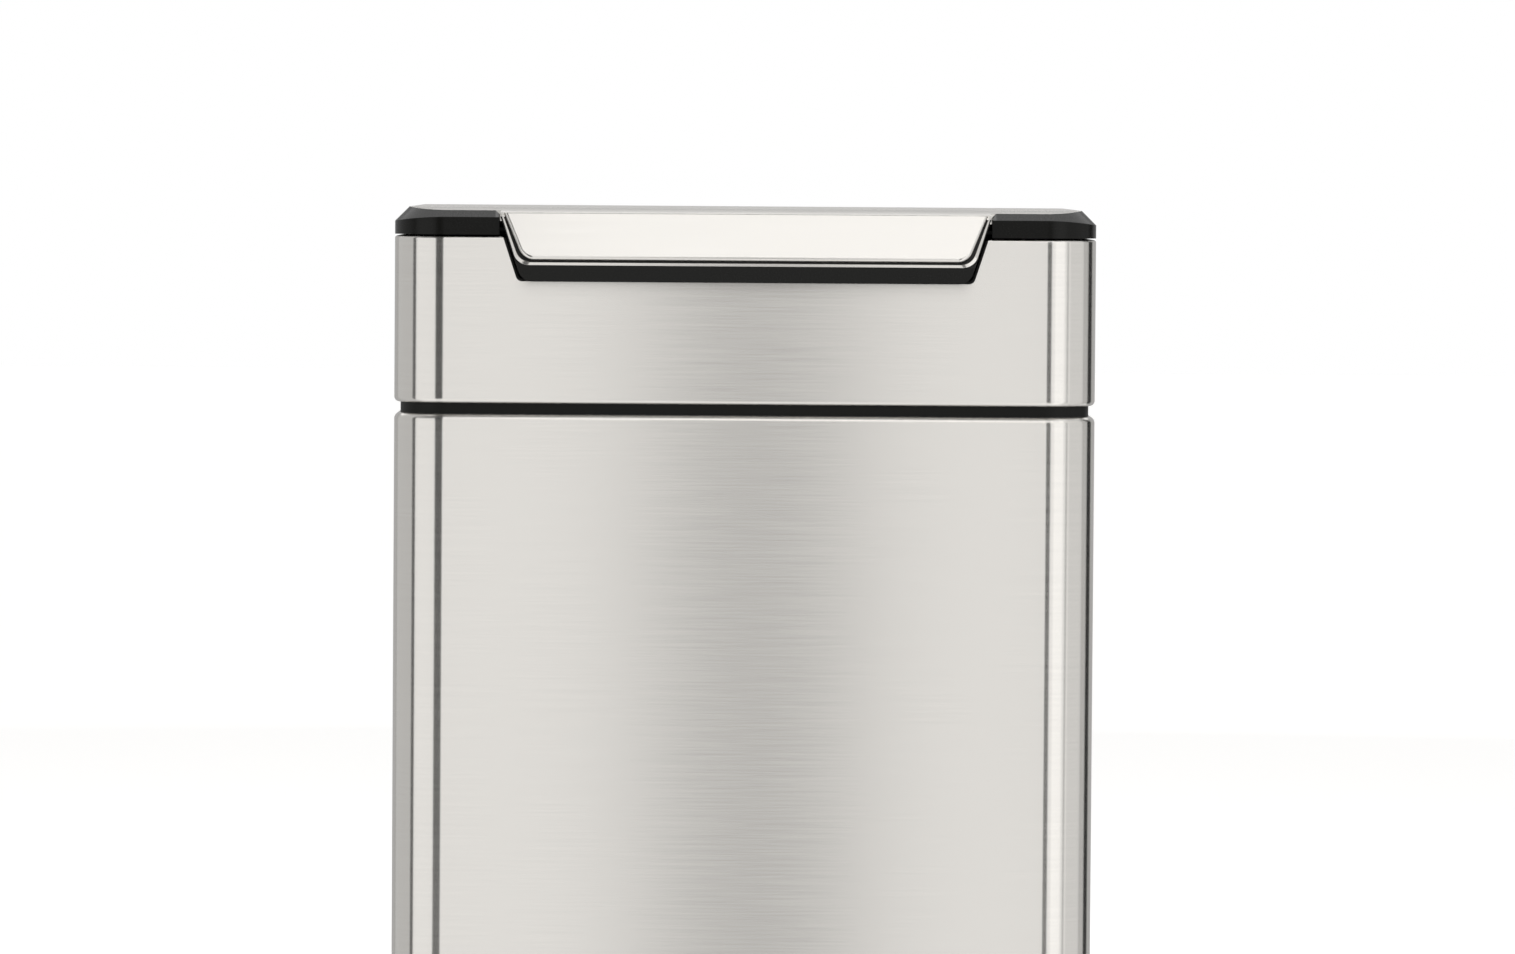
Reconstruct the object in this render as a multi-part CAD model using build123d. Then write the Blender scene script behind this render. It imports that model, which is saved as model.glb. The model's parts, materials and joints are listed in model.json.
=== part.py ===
from build123d import *
import os
from math import cos, radians, sin, sqrt, tan

os.makedirs("parts", exist_ok=True)

# A floor-standing push-top bin.  Millimetres, +Z up, the front faces -Y, and the origin is
# on the floor under the middle of the whole bin, bar included.

# ---- Driving dimensions ---------------------------------------------------------------
WIDTH = 410.0              # steel body and lid frame, side to side
BODY_DEPTH = 305.0         # steel body, front to back
HEIGHT = 630.0             # floor to the top of the lid
CORNER_R = 30.0            # corners of the body seen from above
BAR_REACH = 14.5           # how far the press bar stands out in front of the body

SHEET = 0.8                # steel sheet
WALL = 2.4                 # moulded plastic wall
REST_GAP = 0.3             # between a moving piece and what it rests on
SIDE_GAP = 0.6             # between a lifting piece and what it slides past
PIN_CLEARANCE = 0.05       # radial, on every pin that turns

FOOT_H = 3.0               # rubber below the base's skirt
FOOT_R = 12.0
FOOT_INSET = 34.0          # foot centres in from the body's faces
SKIRT_H = 11.0             # base showing below the steel
SKIRT_INSET = 1.5
BASE_FLOOR_Z = 9.0         # underside of the base's floor
BASE_UPSTAND_H = 22.0      # base reaching up inside the steel

LID_H = 16.0               # black frame of the lid, underside to top
LID_GAP = 1.0              # lid frame to head
BAND_H = 97.0              # steel band of the head
WAIST_H = 6.2              # gap between head and body, where the collar shows
BODY_ROLL_R = 2.6          # rolled top edge of the body
BAND_ROLL_R = 3.0          # rolled lower edge of the band
BAND_TOP_R = 1.4

COLLAR_INSET = 3.7         # how far the collar is set back at the waist
COLLAR_WALL = 3.0
COLLAR_SKIRT_H = 26.0      # collar reaching down inside the body
COLLAR_NECK_H = 9.0        # collar reaching up inside the head
COLLAR_LEDGE_W = 5.4       # ledge that carries the bucket and the head
COLLAR_LEDGE_T = 3.6

BUCKET_RIM_T = 3.0
BUCKET_RIM_W = 5.6
BUCKET_WALL = 2.2
BUCKET_TAPER = 9.0         # how much narrower each side is at the bottom
BUCKET_FLOOR_GAP = 6.0     # bucket above the base's floor
HAND_SLOT_W = 96.0
HAND_SLOT_H = 24.0
HAND_SLOT_DROP = 14.0      # slot below the bucket's rim

THROAT_INSET = 34.0        # opening of the head, in from the body's faces
THROAT_R = 12.0
THROAT_SKIRT_H = 48.0
DECK_T = 3.0

LID_CHAMFER = 8.4          # 45 degree edge of the lid frame
LID_CROWN_RUN = 32.0       # the lid's top curves down over this run at the front
LID_CROWN_DROP = 3.4
PANEL_FOLD_H = 8.0         # folded edge of the steel lid panel
LINER_T = 2.2
LINER_Z_UP = 2.0           # liner above the lid frame's underside
TONGUE_SETBACK = 2.2       # panel's front edge behind the front of the lid frame
LID_OPEN_DEG = 80.0

HINGE_INSET = 26.0         # hinge axis in from the back
HINGE_PIN_R = 2.5
LUG_R = 4.5
LUG_T = 4.0
LUG_GAP = 0.5              # beside and around each lug
BRACKET_X = 115.0          # brackets, out from the middle
BRACKET_HALF = 15.0
BRACKET_PLATE_T = 1.5
COVER_STEP = 3.0           # hinge cover's top above the hinge axis
COVER_GAP = 0.5
LID_SPRING_X = 150.0
LID_SPRING_WIRE_R = 0.6
LID_SPRING_TURNS = 8
LID_SPRING_PITCH = 1.5

NOTCH_HALF_TOP = 141.1     # notch of the band: half its width at the band's top edge
NOTCH_TAPER = 8.5          # each side comes in this much down to the notch's lower edge
NOTCH_LOW_DROP = 42.9      # lid top down to the notch's lower edge
NOTCH_R = 4.0
LID_NOTCH_SIDE = 2.1       # gap in the lid frame's front, beyond the top of the notch
BEZEL_T = 1.2
BEZEL_REACH = 1.2

BAR_TOP_DROP = 4.6         # lid top down to the top of the bar
BAR_FACE_DROP = 29.3       # lid top down to the lower edge of the bar's face
BAR_RIM_DROP = 33.0        # lid top down to the steel rim
BAR_TILT_DEG = 22.0        # the bar's face leans back
BAR_STEP = 2.2             # face above its rim
BAR_EDGE_R = 1.8
BAR_FACE_SIDE_TOP = 0.9    # notch to the face, on each side at its top
BAR_FACE_SIDE_LOW = 3.5    # and at its lower edge
BAR_CORNER_R = 9.0
BAR_CHIN_R = 8.5           # lower corners of the chin, rounder than the notch's
BAR_CHIN_SLOPE = 4.0       # chin runs back this far on its way down
BAR_SIDE_GAP = 0.9         # carrier to bezel
FACE_RUN_ON = 1.0          # face's outline is drawn this far past its lower edge
BAR_DRAFT = 1.0            # the carrier narrows this much towards the front
BAR_TRAVEL_DEG = 3.5
BAR_PIVOT_IN = 20.0        # pivot behind the band's face
BAR_PIVOT_DROP = 24.0      # lid top down to the pivot
BAR_PIN_R = 2.0
BAR_BOSS_R = 4.5
BAR_RIB_T = 2.4
BAR_RIB_FIRST_X = 32.0     # innermost rib, out from the middle
BAR_RIB_EDGE = 12.0        # outermost rib, in from the face's lower corner
BAR_RIBS = 3               # on each side
BAR_FLOOR_IN = 14.0        # bar's floor reaches this far behind the band's face
BAR_PIN_HOLD = 3.0         # trunnion beyond the outer rib before the pin starts

HOUSING_SIDE = 4.9         # trough's cheek outside the top of the notch
HOUSING_H = 44.0           # below the deck's top
HOUSING_BOSS_T = 9.0       # frame's bosses for the trough's screws
HOOK_HALF = 9.0
HOOK_T = 2.4
STRIKER_HALF = 8.0
STRIKER_T = 3.0
STRIKER_IN = 22.0          # striker behind the band's face
HOOK_SCREW_IN = 9.0        # hook's screw behind the band's face
HOOK_FLOOR_GAP = 6.0       # hook's tip above the trough's floor
HOOK_BACK_GAP = 3.2        # hook to the trough's back wall, for its swing
BAR_SPRING_X = 96.0
BAR_SPRING_R = 3.2
BAR_SPRING_WIRE_R = 0.45
BAR_SPRING_TURNS = 6
BAR_SPRING_IN = 9.0

SCREW_R = 1.75
SCREW_HEAD_R = 3.2
SCREW_HEAD_T = 2.0
BUMPER_R = 4.5
BUMPER_INSET = 21.0
LINER_SCREW_SPREAD = 60.0  # side screws of the liner, either way from the middle

# ---- Worked out from the sizes above --------------------------------------------------
DEPTH = BODY_DEPTH + BAR_REACH
BACK_Y = DEPTH / 2
FRONT_Y = BACK_Y - BODY_DEPTH
MID_Y = (BACK_Y + FRONT_Y) / 2

LID_Z = HEIGHT - LID_H
BAND_TOP = LID_Z - LID_GAP
BAND_Z = BAND_TOP - BAND_H
BODY_TOP = BAND_Z - WAIST_H
SHELL_Z = FOOT_H + SKIRT_H
DECK_TOP = BAND_TOP - SHEET
COLLAR_TOP = BODY_TOP + WAIST_H + COLLAR_NECK_H
FRAME_Z = COLLAR_TOP + REST_GAP
LEDGE_INSET = COLLAR_INSET + COLLAR_LEDGE_W
LINER_Z = LID_Z + LINER_Z_UP
PANEL_INSET = LID_CHAMFER + 0.3
PANEL_Z = HEIGHT - PANEL_FOLD_H
LINER_SCREW_INSET = PANEL_INSET + SCREW_HEAD_R + 0.3
HINGE_Y = BACK_Y - HINGE_INSET
HINGE_Z = LID_Z + LID_H / 2
KNUCKLE_R = LID_H / 2
RAIL_FRONT_Y = HINGE_Y - LUG_R - 5.5
NOTCH_Z = HEIGHT - NOTCH_LOW_DROP
HOUSING_Z = DECK_TOP - HOUSING_H
HOUSING_HALF = NOTCH_HALF_TOP + HOUSING_SIDE
NOTCH_HALF_LOW = NOTCH_HALF_TOP - NOTCH_TAPER
LID_NOTCH_HALF = NOTCH_HALF_TOP + LID_NOTCH_SIDE
BAR_HALF_TOP = NOTCH_HALF_TOP - BAR_FACE_SIDE_TOP
BAR_HALF_LOW = NOTCH_HALF_LOW - BAR_FACE_SIDE_LOW
PIVOT_Y = FRONT_Y + BAR_PIVOT_IN
PIVOT_Z = HEIGHT - BAR_PIVOT_DROP
STRIKER_Y = FRONT_Y + STRIKER_IN
TOO_FAR = 2 * HEIGHT       # longer than the bin, for cutting right through


# ---- Shapes used by several pieces ----------------------------------------------------
def outline(inset, radius=None):
    """The body's plan, drawn in by inset."""
    corner = max(CORNER_R - inset, 2.0) if radius is None else radius
    return Pos(0, MID_Y) * RectangleRounded(WIDTH - 2 * inset, BODY_DEPTH - 2 * inset, corner)


def block(inset, z0, z1, radius=None):
    return Pos(0, 0, z0) * extrude(outline(inset, radius), z1 - z0)


def ring(outer, inner, z0, z1):
    return block(outer, z0, z1) - block(inner, z0, z1)


def box(x0, x1, y0, y1, z0, z1):
    return Pos((x0 + x1) / 2, (y0 + y1) / 2, (z0 + z1) / 2) * Box(x1 - x0, y1 - y0, z1 - z0)


def round_ends(solid, low_r, high_r):
    """Fillet the outer edges of a block's underside and top."""
    if low_r:
        solid = fillet(solid.faces().sort_by(Axis.Z)[0].edges(), low_r)
    if high_r:
        solid = fillet(solid.faces().sort_by(Axis.Z)[-1].edges(), high_r)
    return solid


def post(x, y, z0, z1, radius):
    return Pos(x, y, (z0 + z1) / 2) * Cylinder(radius, z1 - z0)


def rod(x0, x1, y, z, radius):
    """A round bar along X."""
    return Pos((x0 + x1) / 2, y, z) * Rot(0, 90, 0) * Cylinder(radius, x1 - x0)


def side_profile(points, x0, x1):
    """A closed outline of (y, z) points, carried from x0 to x1."""
    face = make_face(Polyline(*[(0, y, z) for y, z in points], close=True))
    return Pos(x0, 0, 0) * extrude(face, x1 - x0, dir=(1, 0, 0))


def front_outline(half_top, z_top, half_low, z_low, radius, y):
    """A trapezium facing the front at y, with its two lower corners rounded."""
    points = [(-half_top, y, z_top), (half_top, y, z_top), (half_low, y, z_low), (-half_low, y, z_low)]
    face = make_face(Polyline(*points, close=True))
    return fillet(face.vertices().sort_by(Axis.Z)[:2], radius)


def screw_up(x, y, z, length):
    """A pan-head screw whose head hangs below z and whose shank goes up."""
    return post(x, y, z - SCREW_HEAD_T, z, SCREW_HEAD_R) + post(x, y, z, z + length, SCREW_R)


def both_sides(solid):
    return Part() + [solid, mirror(solid, Plane.YZ)]


def save(shape, node):
    export_step(shape, f"parts/{node}.step")


# ---- Body -----------------------------------------------------------------------------
def body_shell():
    """Steel can, open below, its top edge rolled in to a narrow flange."""
    outside = round_ends(block(0, SHELL_Z, BODY_TOP), 0, BODY_ROLL_R)
    inside = round_ends(block(SHEET, SHELL_Z - 1, BODY_TOP - SHEET), 0, BODY_ROLL_R - SHEET)
    return outside - inside - block(COLLAR_INSET, SHELL_Z, BODY_TOP + 1)


def foot_places():
    x = WIDTH / 2 - FOOT_INSET
    return [(sx * x, y) for sx in (-1, 1) for y in (FRONT_Y + FOOT_INSET, BACK_Y - FOOT_INSET)]


def base_pan():
    """Moulded base: a skirt under the steel, an upstand inside it, a ribbed floor."""
    skirt = ring(SKIRT_INSET, SKIRT_INSET + WALL, FOOT_H, SHELL_Z)
    upstand = ring(SHEET, SHEET + WALL, SHELL_Z, SHELL_Z + BASE_UPSTAND_H)
    floor = block(SKIRT_INSET + WALL / 2, BASE_FLOOR_Z, BASE_FLOOR_Z + WALL)
    lip = ring(SHEET, SKIRT_INSET + WALL, SHELL_Z - WALL, SHELL_Z)
    inner_wall = ring(SKIRT_INSET, SKIRT_INSET + WALL, BASE_FLOOR_Z, SHELL_Z + WALL)
    base = skirt + (inner_wall & block(SHEET, 0, HEIGHT)) + upstand + floor + lip
    base = base - ring(0, SHEET, SHELL_Z, HEIGHT)
    for x in (-1, 1):
        rib_x = x * WIDTH / 6
        base += box(rib_x - 1, rib_x + 1, FRONT_Y + 8, BACK_Y - 8, FOOT_H + 2, BASE_FLOOR_Z)
    for x, y in foot_places():
        base -= post(x, y, 0, TOO_FAR / 10, SCREW_R)
    return base


def base_feet():
    """Four rubber pads under the base, each with a well for its screw."""
    pads = []
    for x, y in foot_places():
        pad = post(x, y, 0, BASE_FLOOR_Z, FOOT_R)
        pad = fillet(pad.edges().sort_by(Axis.Z)[0], 1.0)
        pad -= post(x, y, -1, BASE_FLOOR_Z / 2, SCREW_HEAD_R + 1)
        pads.append(pad - post(x, y, 0, BASE_FLOOR_Z, SCREW_R))
    return Part() + pads


def base_screws():
    well_top = BASE_FLOOR_Z / 2
    length = BASE_FLOOR_Z + WALL - well_top - 0.4
    return Part() + [screw_up(x, y, well_top, length) for x, y in foot_places()]


def top_collar():
    """Black collar: skirt inside the can, neck through the waist, ledge at the top."""
    skirt = ring(SHEET, COLLAR_INSET + COLLAR_WALL, BODY_TOP - SHEET - COLLAR_SKIRT_H, BODY_TOP - SHEET)
    skirt = skirt & round_ends(block(SHEET, SHELL_Z, BODY_TOP - SHEET), 0, BODY_ROLL_R - SHEET)
    neck = ring(COLLAR_INSET, COLLAR_INSET + COLLAR_WALL, BODY_TOP - SHEET, COLLAR_TOP)
    ledge = ring(COLLAR_INSET, LEDGE_INSET, COLLAR_TOP - COLLAR_LEDGE_T, COLLAR_TOP)
    return skirt + neck + ledge


# ---- Bucket ---------------------------------------------------------------------------
BUCKET_RIM_Z = COLLAR_TOP + REST_GAP
BUCKET_INSET = LEDGE_INSET + SIDE_GAP
BUCKET_Z = BASE_FLOOR_Z + WALL + BUCKET_FLOOR_GAP
RIM_OUTER = BUCKET_INSET + BUCKET_WALL - BUCKET_RIM_W


def tapered(top_inset, low_inset, z0, z1):
    low = Pos(0, 0, z0) * outline(low_inset, CORNER_R - top_inset)
    high = Pos(0, 0, z1) * outline(top_inset, CORNER_R - top_inset)
    return loft([low.face(), high.face()], ruled=True)


def inner_bucket():
    """Plastic bucket hung by its rim, with a hand slot in each short side."""
    outside = tapered(BUCKET_INSET, BUCKET_INSET + BUCKET_TAPER, BUCKET_Z, BUCKET_RIM_Z)
    inner_top = BUCKET_INSET + BUCKET_WALL
    rim_top = BUCKET_RIM_Z + BUCKET_RIM_T
    inside = tapered(inner_top, inner_top + BUCKET_TAPER, BUCKET_Z + BUCKET_WALL, BUCKET_RIM_Z)
    inside += block(inner_top, BUCKET_RIM_Z, rim_top + 1, CORNER_R - inner_top)
    rim = block(RIM_OUTER, BUCKET_RIM_Z, rim_top)
    slot_top = BUCKET_RIM_Z - HAND_SLOT_DROP
    slot = Pos(0, MID_Y, slot_top - HAND_SLOT_H / 2) * Rot(0, 90, 0) * extrude(
        SlotOverall(HAND_SLOT_W, HAND_SLOT_H, rotation=90), WIDTH / 2, both=True)
    return outside + rim - inside - slot


# ---- Head: band, frame and trim -------------------------------------------------------
BAND_LIP = COLLAR_INSET - 0.5
HEAD_FOOT_INSET = RIM_OUTER - SIDE_GAP
NOTCH_SLOPE = NOTCH_TAPER / (BAND_TOP - NOTCH_Z)


def notch_prism(inset, y0, y1, z_top=BAND_TOP + 1):
    """The bar's notch, drawn in by inset, from y0 to y1."""
    side_inset = inset * sqrt(1 + NOTCH_SLOPE ** 2)
    low = NOTCH_Z + inset
    half_low = NOTCH_HALF_LOW + NOTCH_SLOPE * inset - side_inset
    half_top = half_low + NOTCH_SLOPE * (z_top - low)
    face = front_outline(half_top, z_top, half_low, low, NOTCH_R, y0)
    return extrude(face, y1 - y0, dir=(0, 1, 0))


def inside_band():
    return round_ends(block(SHEET, BAND_Z + SHEET, DECK_TOP), BAND_ROLL_R - SHEET, BAND_TOP_R - SHEET)


def upper_band():
    """Steel band, rolled in at both edges, with the notch for the bar."""
    band = round_ends(block(0, BAND_Z, BAND_TOP), BAND_ROLL_R, BAND_TOP_R) - inside_band()
    band -= block(BAND_LIP, BAND_Z - 1, BAND_TOP + 1)
    return band - notch_prism(0, FRONT_Y - 1, FRONT_Y + BAND_LIP + 1)


def lower_trim():
    """Ring that lines the band's lower roll and guides the head onto the collar."""
    return ring(SHEET, BAND_LIP, BAND_Z + SHEET, FRAME_Z) & inside_band()


def housing_space():
    return box(-HOUSING_HALF, HOUSING_HALF, FRONT_Y - 1, FRONT_Y + THROAT_INSET, HOUSING_Z, HEIGHT)


SCREW_END_X = HOUSING_HALF + HOUSING_BOSS_T - 1.4


def housing_screw_places():
    z = HOUSING_Z + HOUSING_H / 2
    return [(FRONT_Y + THROAT_INSET * 0.36, z), (FRONT_Y + THROAT_INSET * 0.76, z)]


def top_frame():
    """Moulded frame inside the band: outer wall, foot, deck, throat and housing bosses."""
    wall = ring(SHEET, SHEET + WALL, FRAME_Z, DECK_TOP)
    foot = ring(SHEET, HEAD_FOOT_INSET, FRAME_Z, FRAME_Z + WALL)
    deck = block(SHEET, DECK_TOP - DECK_T, DECK_TOP)
    throat = block(THROAT_INSET - WALL, DECK_TOP - THROAT_SKIRT_H, DECK_TOP, THROAT_R + WALL)
    opening = block(THROAT_INSET, DECK_TOP - THROAT_SKIRT_H - 1, DECK_TOP + 1, THROAT_R)
    frame = ((wall + foot + deck) & inside_band()) + throat - opening
    boss = box(HOUSING_HALF, HOUSING_HALF + HOUSING_BOSS_T, FRONT_Y + SHEET + WALL,
               FRONT_Y + THROAT_INSET - WALL, HOUSING_Z + 8, DECK_TOP - DECK_T)
    frame = frame + both_sides(boss) - housing_space()
    for y, z in housing_screw_places():
        frame -= rod(-SCREW_END_X - 0.4, SCREW_END_X + 0.4, y, z, SCREW_R)
    for x, y in bracket_screw_places() + cover_screw_places():
        frame -= post(x, y, DECK_TOP - DECK_T - 1, DECK_TOP + 1, SCREW_R)
    return frame


# ---- Lid ------------------------------------------------------------------------------
def crown_cut():
    """What lies above the lid's curved front."""
    radius = (LID_CROWN_RUN ** 2 + LID_CROWN_DROP ** 2) / (2 * LID_CROWN_DROP)
    end = FRONT_Y + LID_CROWN_RUN
    above = box(-WIDTH, WIDTH, FRONT_Y - 1, end, HEIGHT - LID_CROWN_DROP - 1, HEIGHT + 1)
    return above - rod(-WIDTH, WIDTH, end, HEIGHT - radius, radius)


def lid_nose(solid):
    """Round the lid's back end about the hinge axis."""
    ahead = box(-WIDTH, WIDTH, -TOO_FAR, HINGE_Y, LID_Z - 1, HEIGHT + 1)
    return solid & (ahead + rod(-WIDTH, WIDTH, HINGE_Y, HINGE_Z, KNUCKLE_R))


def chamfered_top():
    solid = block(0, LID_Z, HEIGHT)
    return chamfer(solid.faces().sort_by(Axis.Z)[-1].edges(), LID_CHAMFER)


def panel_crown(inset, z_low, z_drop):
    """The space under a lid skin: the panel's plan, its front tongue and the crown."""
    half = LID_NOTCH_HALF - LUG_GAP - inset
    tongue = box(-half, half, FRONT_Y + TONGUE_SETBACK + inset, MID_Y, z_low, HEIGHT - z_drop)
    solid = block(PANEL_INSET + inset, z_low, HEIGHT - z_drop) + tongue
    back = box(-WIDTH, WIDTH, RAIL_FRONT_Y - inset, TOO_FAR, 0, TOO_FAR)
    return solid - Pos(0, 0, -z_drop) * crown_cut() - back


def lid_panel():
    """Steel lid skin with its edges folded down all round."""
    return panel_crown(0, PANEL_Z, 0) - panel_crown(SHEET, PANEL_Z - 1, SHEET)


def liner_screw_places():
    x = WIDTH / 2 - LINER_SCREW_INSET
    front = FRONT_Y + LINER_SCREW_INSET
    sides = [(sx * x, MID_Y + sy * LINER_SCREW_SPREAD) for sx in (-1, 1) for sy in (-1, 1)]
    return sides + [(sx * WIDTH / 4, front) for sx in (-1, 1)]


def lid_frame():
    """Black frame: chamfered rim, ledge under the panel, gap for the bar at the front."""
    ledge_inset = LINER_SCREW_INSET + SCREW_R + 1.5
    rim = chamfered_top() - block(PANEL_INSET, LID_Z - 1, HEIGHT + 1) - crown_cut()
    ledge = ring(PANEL_INSET - 1, ledge_inset, LINER_Z + LINER_T, PANEL_Z)
    half = LID_NOTCH_HALF
    gap = box(-half, half, FRONT_Y - 1, FRONT_Y + PANEL_INSET, LID_Z - 1, HEIGHT + 1)
    back = box(-WIDTH / 2 + PANEL_INSET, WIDTH / 2 - PANEL_INSET, RAIL_FRONT_Y, BACK_Y, 0, TOO_FAR)
    frame = lid_nose(rim + ledge - gap - back)
    for x, y in liner_screw_places():
        frame -= post(x, y, LINER_Z, PANEL_Z, SCREW_R)
    return frame


def lid_liner():
    liner = block(PANEL_INSET, LINER_Z, LINER_Z + LINER_T)
    liner -= box(-WIDTH, WIDTH, RAIL_FRONT_Y, BACK_Y, 0, TOO_FAR)
    for x, y in liner_screw_places():
        liner -= post(x, y, LINER_Z - 1, LINER_Z + LINER_T + 1, SCREW_R)
    return liner


def liner_screws():
    length = PANEL_Z - LINER_Z - 0.4
    return Part() + [screw_up(x, y, LINER_Z, length) for x, y in liner_screw_places()]


def lid_bumpers():
    """Rubber stops under the lid that come down on the head's deck."""
    x = WIDTH / 2 - BUMPER_INSET
    places = [(sx * x, y) for sx in (-1, 1) for y in (FRONT_Y + BUMPER_INSET, MID_Y)]
    return Part() + [post(px, y, DECK_TOP + REST_GAP, LINER_Z, BUMPER_R) for px, y in places]


# ---- Hinge ----------------------------------------------------------------------------
def lug_places():
    return [side * BRACKET_X + end * BRACKET_HALF for side in (-1, 1) for end in (-1, 1)]


def bracket_screw_places():
    return [(side * BRACKET_X + end * BRACKET_HALF / 2, HINGE_Y) for side in (-1, 1) for end in (-1, 1)]


def cover_screw_places():
    return [(x, BACK_Y - HINGE_INSET / 3) for x in (-BRACKET_X, 0, BRACKET_X)]


def hinge_pocket(x, half_width, radius):
    """Room in the lid's rail for something fixed that stands on the deck at x."""
    return box(x - half_width, x + half_width, HINGE_Y - radius, BACK_Y, LID_Z - 1, HINGE_Z + radius)


def hinge_rail():
    """Bar across the back of the lid that turns on the hinge pin."""
    rail = block(PANEL_INSET, LID_Z, HEIGHT)
    rail = lid_nose(rail - box(-WIDTH, WIDTH, -TOO_FAR, RAIL_FRONT_Y, 0, TOO_FAR))
    for x in lug_places():
        rail -= hinge_pocket(x, LUG_T / 2 + LUG_GAP, LUG_R + LUG_GAP)
    half = LID_SPRING_TURNS * LID_SPRING_PITCH / 2 + 2
    coil_r = spring_radius() + LID_SPRING_WIRE_R + LUG_GAP
    for x in (-LID_SPRING_X, LID_SPRING_X):
        rail -= hinge_pocket(x, half, coil_r)
        rail -= box(x - half, x + half, RAIL_FRONT_Y - 1, HINGE_Y, LID_Z - 1, HINGE_Z + coil_r)
    return rail - rod(-WIDTH, WIDTH, HINGE_Y, HINGE_Z, HINGE_PIN_R + PIN_CLEARANCE)


def hinge_pin():
    half = WIDTH / 2 - PANEL_INSET - 4
    return rod(-half, half, HINGE_Y, HINGE_Z, HINGE_PIN_R)


def hinge_brackets():
    """Two steel brackets on the deck, each with a pair of lugs for the pin."""
    parts = []
    for side in (-1, 1):
        x = side * BRACKET_X
        reach = BRACKET_HALF + LUG_T / 2
        bracket = box(x - reach, x + reach, HINGE_Y - LUG_R - 2, HINGE_Y + LUG_R + 2,
                      DECK_TOP, DECK_TOP + BRACKET_PLATE_T)
        for lug_x in (x - BRACKET_HALF, x + BRACKET_HALF):
            x0, x1 = lug_x - LUG_T / 2, lug_x + LUG_T / 2
            bracket += box(x0, x1, HINGE_Y - LUG_R, HINGE_Y + LUG_R, DECK_TOP, HINGE_Z)
            bracket += rod(x0, x1, HINGE_Y, HINGE_Z, LUG_R)
        bracket -= rod(x - 2 * reach, x + 2 * reach, HINGE_Y, HINGE_Z, HINGE_PIN_R)
        for end in (-1, 1):
            bracket -= post(x + end * BRACKET_HALF / 2, HINGE_Y, DECK_TOP, HINGE_Z, SCREW_HEAD_R)
        parts.append(bracket)
    return Part() + parts


def bracket_screws():
    """Flat-headed screws, flush with the bracket plates."""
    screws = []
    for x, y in bracket_screw_places():
        head = post(x, y, DECK_TOP, DECK_TOP + BRACKET_PLATE_T, SCREW_HEAD_R)
        screws.append(head + post(x, y, DECK_TOP - DECK_T - 4, DECK_TOP, SCREW_R))
    return Part() + screws


def spring_radius():
    return HINGE_PIN_R + LID_SPRING_WIRE_R + 0.4


def lid_springs():
    """Torsion springs round the pin: one leg on the deck, one under the lid's rail."""
    radius, wire = spring_radius(), LID_SPRING_WIRE_R
    length = LID_SPRING_PITCH * (LID_SPRING_TURNS + 0.25)
    coil = Helix(LID_SPRING_PITCH, length, radius)
    leg_down = Line(coil @ 0 - (coil % 0) * (HINGE_Z - DECK_TOP - wire), coil @ 0)
    leg_ahead = Line(coil @ 1, coil @ 1 + (coil % 1) * (HINGE_Y - RAIL_FRONT_Y - 1))
    path = Wire([leg_down.edge(), coil.edge(), leg_ahead.edge()])
    spring = sweep(Plane(origin=path @ 0, z_dir=path % 0) * Circle(wire), path=path)
    springs = []
    for x in (-LID_SPRING_X, LID_SPRING_X):
        place = Plane(origin=(x - length / 2, HINGE_Y, HINGE_Z), x_dir=(0, 1, 0), z_dir=(1, 0, 0))
        springs.append(place * spring)
    return Part() + springs


def hinge_cover():
    """Black cover behind the lid that continues the lid frame's edge."""
    front_y = HINGE_Y + KNUCKLE_R * 0.7
    cover = chamfered_top() & box(-WIDTH, WIDTH, front_y, BACK_Y, LID_Z, HINGE_Z + COVER_STEP)
    cover -= rod(-WIDTH, WIDTH, HINGE_Y, HINGE_Z, KNUCKLE_R + COVER_GAP)
    foot = ring(BAND_LIP + 1, HINGE_INSET * 0.6, DECK_TOP, LID_Z)
    cover += foot & box(-WIDTH, WIDTH, HINGE_Y + HINGE_INSET * 0.4, BACK_Y, DECK_TOP, LID_Z)
    for x, y in cover_screw_places():
        cover -= post(x, y, DECK_TOP - 1, LID_Z + 4, SCREW_R)
    return cover


def cover_screws():
    z = DECK_TOP - DECK_T
    return Part() + [screw_up(x, y, z, LID_Z + 3.6 - z) for x, y in cover_screw_places()]


# ---- Press bar ------------------------------------------------------------------------
TILT = radians(BAR_TILT_DEG)
BAR_TOP_Z = HEIGHT - BAR_TOP_DROP
FACE_Z = HEIGHT - BAR_FACE_DROP
RIM_Z = HEIGHT - BAR_RIM_DROP
RIM_TOP_Z = BAR_TOP_Z - BAR_STEP * sin(TILT)
FACE_RUN = (BAR_TOP_Z - FACE_Z) / cos(TILT)
RIM_RUN = (RIM_TOP_Z - RIM_Z) / cos(TILT)
RIM_TOP_Y = (FRONT_Y - BAR_REACH + BAR_EDGE_R
             + (FACE_RUN - BAR_EDGE_R) * sin(TILT) + (BAR_STEP - BAR_EDGE_R) * cos(TILT))
BAR_BACK_Y = FRONT_Y + TONGUE_SETBACK - 0.8
TRAVEL = sin(radians(BAR_TRAVEL_DEG))
CHIN_Z = NOTCH_Z + BEZEL_T + (BAR_PIVOT_IN + BEZEL_REACH) * TRAVEL + 0.5
CHIN_BACK_Y = FRONT_Y - BEZEL_REACH - (PIVOT_Z - NOTCH_Z) * TRAVEL - 0.6
FLOOR_BACK_Y = FRONT_Y + BAR_FLOOR_IN
OUTER_RIB_X = BAR_HALF_LOW - BAR_RIB_EDGE


def on_bar(run, out):
    """(y, z) of a point run down the bar's rim plane and out from it."""
    return (RIM_TOP_Y - run * sin(TILT) - out * cos(TILT), RIM_TOP_Z - run * cos(TILT) + out * sin(TILT))


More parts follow.
